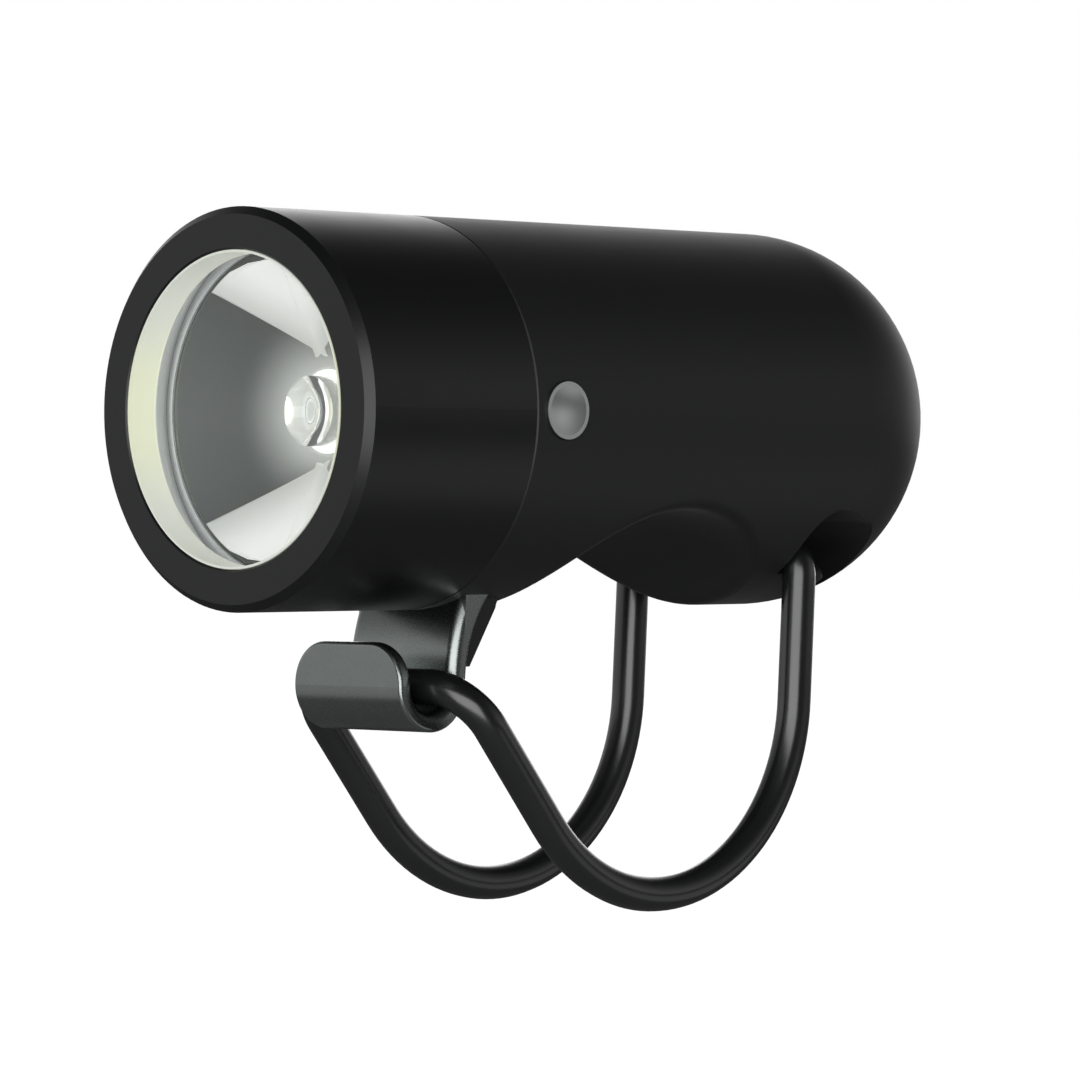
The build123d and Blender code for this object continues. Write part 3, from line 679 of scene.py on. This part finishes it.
def white_rows(cut, side, upward):
    """Rows of points over one half of a white skin, from the bowl's rim to its tail."""
    gap, spread = cut
    inset = WHITE_INSET + (WHITE_LAP_GAP if side > 0 else 0)
    rows = []
    for depth, radius in bowl_outline(BOWL_FRONT + WHITE_MARGIN, LENS_BACK - SKIN_MARGIN, inset):
        if radius > gap / sqrt(1 + spread**2):
            start, end = white_reach(radius, gap, spread)
            if end > start:
                y = LENS_FRONT + depth
                rows.append([
                    Vector((side * radius * sin(turn), y, AXIS_HEIGHT + upward * radius * cos(turn)))
                    for turn in even_steps(start, end, BOWL_ROWS)
                ])
    return rows


def white_skins():
    """White skins over the top and the bottom of the bowl, each in two lapped halves: sheets that paint the
    lens's bright reflections.
    """
    white = bowl_white()
    for height, cut, upward in (("upper", UPPER_CUT, 1), ("lower", LOWER_CUT, -1)):
        for hand, side in (("left", -1), ("right", 1)):
            shape = bmesh.new()
            join_rows(shape, white_rows(cut, side, upward), closed=False)
            piece = new_piece(f"white_skin_{height}_{hand}", shape, "clear_lens", "root", white)
            thicken(piece, SKIN_THICKNESS)


# Rubber loop, with the sizes of its solid
STRAP_RADIUS = 1.53 * MM
STRAP_FRONT_BEND = 4.5 * MM
STRAP_REAR_BEND = 3.0 * MM
HOOK_OUTER_RADIUS = 3.9 * MM
STRAP_SIDES = 48
STRAP_TURN_STEP = radians(3)
STRAP_RUN_STEP = 1.2 * MM
STRAP_LINE_WIDTH = radians(3.5)
STRAP_LINE_HEIGHT = 0.03 * MM


def touch_angle(y, z, radius, side):
    """Angle of the point where a line from (y, z) touches a circle about the bar."""
    return (atan2(z, y) + side * acos(radius / hypot(y, z))) % (2 * pi)


def strap_route():
    """Corners of the closed loop with the radius of each, from its right front corner round."""
    half_span = strap_high.x - STRAP_RADIUS
    loop_radius = -strap_low.z - STRAP_RADIUS
    front_y = strap_low.y + STRAP_RADIUS
    front_z = HOOK_BOTTOM + HOOK_OUTER_RADIUS
    rear_y = strap_high.y - STRAP_RADIUS
    rear_z = strap_high.z - STRAP_RADIUS
    front_touch = touch_angle(front_y, front_z, loop_radius, 1)
    rear_touch = touch_angle(rear_y, rear_z, loop_radius, -1)
    half = (rear_touch - front_touch) / 2
    middle = front_touch + half
    reach = loop_radius / cos(half)
    side = [
        ((front_y, front_z), STRAP_FRONT_BEND),
        ((reach * cos(middle), reach * sin(middle)), loop_radius),
        ((rear_y, rear_z), STRAP_REAR_BEND),
    ]
    right = [(Vector((half_span, *point)), radius) for point, radius in side]
    left = [(Vector((-half_span, *point)), radius) for point, radius in reversed(side)]
    return right + left


def rounded_loop(corners):
    """Points and directions along a closed route of straight runs and the arcs at its corners."""
    points = []
    for place, (corner, radius) in enumerate(corners):
        arriving = (corner - corners[place - 1][0]).normalized()
        leaving = (corners[(place + 1) % len(corners)][0] - corner).normalized()
        turn = arriving.angle(leaving)
        axis = arriving.cross(leaving).normalized()
        start = corner - arriving * radius * tan(turn / 2)
        centre = start + axis.cross(arriving) * radius
        for angle in even_steps(0, turn, round(turn / STRAP_TURN_STEP)):
            spin = Quaternion(axis, angle)
            points.append((centre + spin @ (start - centre), spin @ arriving))
    return points


def fill_runs(points):
    """The same route, with more points along its straight runs."""
    filled = []
    for place, (point, direction) in enumerate(points):
        gap = points[(place + 1) % len(points)][0] - point
        count = max(1, round(gap.length / STRAP_RUN_STEP))
        filled += [(point + gap * (step / count), direction) for step in range(count)]
    return filled


def strap_section(angle):
    """Distance of the loop's surface from its middle line, with a fine line where the mould parts."""
    ridge = 0
    for side in (0, pi):
        away = (angle - side + pi) % (2 * pi) - pi
        ridge += exp(-((away / STRAP_LINE_WIDTH) ** 2))
    return STRAP_RADIUS + STRAP_LINE_HEIGHT * (ridge - 1)


def loop_rows():
    """Rings of points along the loop, each carried on from the last without a twist."""
    route = fill_runs(rounded_loop(strap_route()))
    before = route[0][1]
    across = before.orthogonal().normalized()
    rows = []
    for point, direction in route:
        across = before.rotation_difference(direction) @ across
        before = direction
        beside = direction.cross(across)
        rows.append([
            point + strap_section(angle) * (cos(angle) * across + sin(angle) * beside)
            for angle in round_angles(STRAP_SIDES)
        ])
    return rows


def rubber_loop():
    """The loop as a closed tube, whose last ring is its first again."""
    shape = bmesh.new()
    rows = loop_rows()
    join_rows(shape, rows + rows[:1], closed=True)
    bmesh.ops.remove_doubles(shape, verts=shape.verts, dist=WELD)
    loop = new_piece("rubber_loop", shape, "strap_rubber", "strap")
    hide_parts("strap")


# Rubber flap over the charging port, with the sizes of its solid
FLAP_ANGLE = radians(21)
FLAP_THICKNESS = 1.15 * MM
FLAP_MIDDLE_RADIUS = BARREL_RADIUS - FLAP_THICKNESS / 2
FLAP_WIDTH = flap_high.y - flap_low.y
FLAP_MIDDLE_Y = (flap_low.y + flap_high.y) / 2
FLAP_ROUND = 0.25 * MM
FLAP_STEPS = 48
FLAP_SHARP = radians(40)
BEAD_RADIUS = 0.75 * MM
BEAD_SOFTNESS = 0.1 * MM
BEAD_SIDES = 40
PLUG_WIDTH = 2.26 * MM
PLUG_HEIGHT = 7.94 * MM
PLUG_DEPTH = 1.5 * MM
PLUG_CORNER = PLUG_WIDTH / 2 - 0.01 * MM
PLUG_TIP_SHARE = 0.915
CORNER_STEPS = 6


def flap_place(radius, y, angle):
    """Point on the port's side, from its radius and its angle above the barrel's axis."""
    return Vector((-radius * cos(angle), y, AXIS_HEIGHT + radius * sin(angle)))


def rounded_outline(width, height, corner):
    """Points round a rectangle with round corners, about its middle."""
    points = []
    for x, y, start in ((1, 1, 0), (-1, 1, 90), (-1, -1, 180), (1, -1, 270)):
        across, up = x * (width / 2 - corner), y * (height / 2 - corner)
        for degrees in even_steps(start, start + 90, CORNER_STEPS):
            turn = radians(degrees)
            points.append((across + corner * cos(turn), up + corner * sin(turn)))
    return points


def closed_run(shape, rows):
    """A closed tube of rows with flat ends."""
    join_rows(shape, rows, closed=True)
    for row in (rows[0], rows[-1]):
        shape.faces.new([shape.verts.new(point) for point in row])


def flap_plate():
    """Rows of the curved plate. The first and last draw in, so that its ends are soft too."""
    rows = []
    for step, angle in enumerate(even_steps(-FLAP_ANGLE, FLAP_ANGLE, FLAP_STEPS)):
        drawn = FLAP_ROUND if step in (0, FLAP_STEPS) else 0
        outline = rounded_outline(FLAP_WIDTH - drawn, FLAP_THICKNESS - drawn, FLAP_ROUND)
        rows.append([
            flap_place(FLAP_MIDDLE_RADIUS + up, FLAP_MIDDLE_Y + along, angle)
            for along, up in outline
        ])
    return rows


def flap_bead():
    """Rows of the hinge bead along the plate's upper edge, with soft ends."""
    rows = []
    for end, drawn in ((-1, BEAD_SOFTNESS), (-1, 0), (1, 0), (1, BEAD_SOFTNESS)):
        y = FLAP_MIDDLE_Y + end * (FLAP_WIDTH / 2 - drawn)
        centre = flap_place(BARREL_RADIUS - BEAD_RADIUS, y, FLAP_ANGLE)
        turns = round_angles(BEAD_SIDES)
        rows.append([centre + (BEAD_RADIUS - drawn) * Vector((cos(turn), 0, sin(turn))) for turn in turns])
    return rows


def flap_plug():
    """Rows of the plug that goes into the port, drawn in at its tip."""
    outline = rounded_outline(PLUG_WIDTH, PLUG_HEIGHT, PLUG_CORNER)
    rows = []
    for inward, share in ((0, 1), (PLUG_DEPTH - FLAP_ROUND, 1), (PLUG_DEPTH, PLUG_TIP_SHARE)):
        x = inward - FLAP_MIDDLE_RADIUS
        rows.append([
            Vector((x, FLAP_MIDDLE_Y + along * share, AXIS_HEIGHT + up * share))
            for along, up in outline
        ])
    return rows


def rubber_flap():
    """Curved plate with soft edges, the hinge bead along its upper edge and the plug behind it."""
    shape = bmesh.new()
    for rows in (flap_plate(), flap_bead(), flap_plug()):
        closed_run(shape, rows)
    tidy_mesh(shape)
    flap = new_piece("rubber_flap", shape, "flap_rubber", "flap")
    flap.data.set_sharp_from_angle(angle=FLAP_SHARP)
    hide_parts("port_flap")


# Camera, at the photograph's angle, with its lens and sensor in millimetres
CAMERA_AZIMUTH = radians(45.064)
CAMERA_ELEVATION = radians(0.2756)
CAMERA_TARGET = Vector((1.275, -5.6, 13.387)) * MM
CAMERA_DISTANCE = 460 * MM
CAMERA_NEAR = 10 * MM
CAMERA_LENS = 174.08
CAMERA_SENSOR = 36.0

TOWARDS_CAMERA = Vector((
    sin(CAMERA_AZIMUTH) * cos(CAMERA_ELEVATION),
    -cos(CAMERA_AZIMUTH) * cos(CAMERA_ELEVATION),
    sin(CAMERA_ELEVATION),
))
CAMERA_RIGHT = Vector((cos(CAMERA_AZIMUTH), sin(CAMERA_AZIMUTH), 0))
UP = Vector((0, 0, 1))


def add_camera():
    """The camera of the photograph."""
    data = bpy.data.cameras.new("camera")
    data.lens = CAMERA_LENS
    data.sensor_width = CAMERA_SENSOR
    data.clip_start = CAMERA_NEAR
    camera = bpy.data.objects.new("camera", data)
    bpy.context.scene.collection.objects.link(camera)
    camera.location = CAMERA_TARGET + CAMERA_DISTANCE * TOWARDS_CAMERA
    camera.rotation_euler = TOWARDS_CAMERA.to_track_quat("Z", "Y").to_euler()
    bpy.context.scene.camera = camera


# Soft panels: name, direction from the part, distance, width, height and watts
PANELS = (
    ("front_panel", TOWARDS_CAMERA + 0.05 * UP - 0.13 * CAMERA_RIGHT, 1.0, 1.23, 0.80, 8.3),
    ("right_panel", CAMERA_RIGHT - 0.45 * UP, 0.5, 0.5, 0.2, 0.10),
    ("left_panel", -CAMERA_RIGHT - 0.05 * UP, 0.6, 0.5, 0.4, 0.2),
)


def add_panel(name, direction, distance, width, height, power):
    """A soft rectangular lamp that stands in a direction from the part and faces it."""
    data = bpy.data.lights.new(name, "AREA")
    data.shape = "RECTANGLE"
    data.size = width
    data.size_y = height
    data.energy = power
    lamp = bpy.data.objects.new(name, data)
    bpy.context.scene.collection.objects.link(lamp)
    away = direction.normalized()
    lamp.location = CAMERA_TARGET + distance * away
    lamp.rotation_euler = away.to_track_quat("Z", "Y").to_euler()


# Soft patches of the studio's walls: direction, how narrow and how bright
WALL_GLOW = 0.03
WALL_PATCHES = (
    (0.5 * CAMERA_RIGHT - 0.1 * UP - TOWARDS_CAMERA, 20.0, 2.4),
    (CAMERA_RIGHT - 0.1 * TOWARDS_CAMERA, 10.0, 0.50),
    (-CAMERA_RIGHT, 6.0, 0.26),
    (-CAMERA_RIGHT - 1.3 * TOWARDS_CAMERA, 6.0, 0.5),
    (0.25 * UP - TOWARDS_CAMERA, 24.0, 1.7),
)
MIRRORED_PATCH = (0.25 * UP - TOWARDS_CAMERA, 30.0, 0.5)


def wall_patch(made, axis, sharpness, level):
    """Brightness of a soft patch round a direction, on the ray's own direction."""
    settings = {"operation": "DOT_PRODUCT"}
    inputs = {0: made.node("ShaderNodeTexCoord", output="Generated"), 1: axis.normalized()}
    toward = made.node("ShaderNodeVectorMath", settings, inputs, output="Value")
    return level * toward.maths("EXPONENT", (toward - 1) * sharpness)


def shows_background(made):
    """1 on rays that go straight to the background, or through the clear lens."""
    return made.ray("Is Camera Ray").or_more(made.ray("Is Transmission Ray"))


def studio_world():
    """A pale studio: white behind the part, dim soft patches at its sides and dark in front."""
    world = bpy.data.worlds.new("studio")
    bpy.context.scene.world = world
    made = Finish(world)
    light = WALL_GLOW
    for patch in WALL_PATCHES:
        light = light + wall_patch(made, *patch)
    light = light + made.ray("Is Glossy Ray") * wall_patch(made, *MIRRORED_PATCH)
    direct = shows_background(made)
    background = made.tree.nodes["Background"]
    background.inputs["Color"].default_value = colour(1, 1, 1)
    made.feed(background.inputs["Strength"], direct + (1 - direct) * light)


# Floor, far enough below the part that no shadow edge shows
FLOOR_DROP = 300 * MM
FLOOR_SIZE = 30.0
FLOOR_GLOW = 1.15
FLOOR_GLOW_SHARE = 0.9


def add_floor():
    """Plain pale floor, well below the part, white to the camera."""
    shape = bmesh.new()
    bmesh.ops.create_grid(shape, x_segments=1, y_segments=1, size=FLOOR_SIZE / 2)
    mesh = bpy.data.meshes.new("floor")
    shape.to_mesh(mesh)
    shape.free()
    floor = bpy.data.objects.new("floor", mesh)
    bpy.context.scene.collection.objects.link(floor)
    floor.location.z = strap_low.z - FLOOR_DROP
    made = finish("pale_floor")
    shade = made.blend(made.grain(20 * MM), colour(0.33, 0.33, 0.33), colour(0.37, 0.37, 0.37))
    coat(made, Base_Color=shade, Roughness=0.9)
    glow = made.node("ShaderNodeEmission", inputs={"Color": colour(1, 1, 1), "Strength": FLOOR_GLOW})
    made.cover(shows_background(made) * FLOOR_GLOW_SHARE, Value(made, made.shader.outputs[0]), glow)
    mesh.materials.append(made.owner)


dress_nodes()
clear_body()
lens_liner()
lens_cup()
lens_ring()
grey_skin()
white_skins()
rubber_loop()
rubber_flap()
add_camera()
for panel in PANELS:
    add_panel(*panel)
studio_world()
add_floor()
bpy.context.scene.view_settings.view_transform = "Standard"
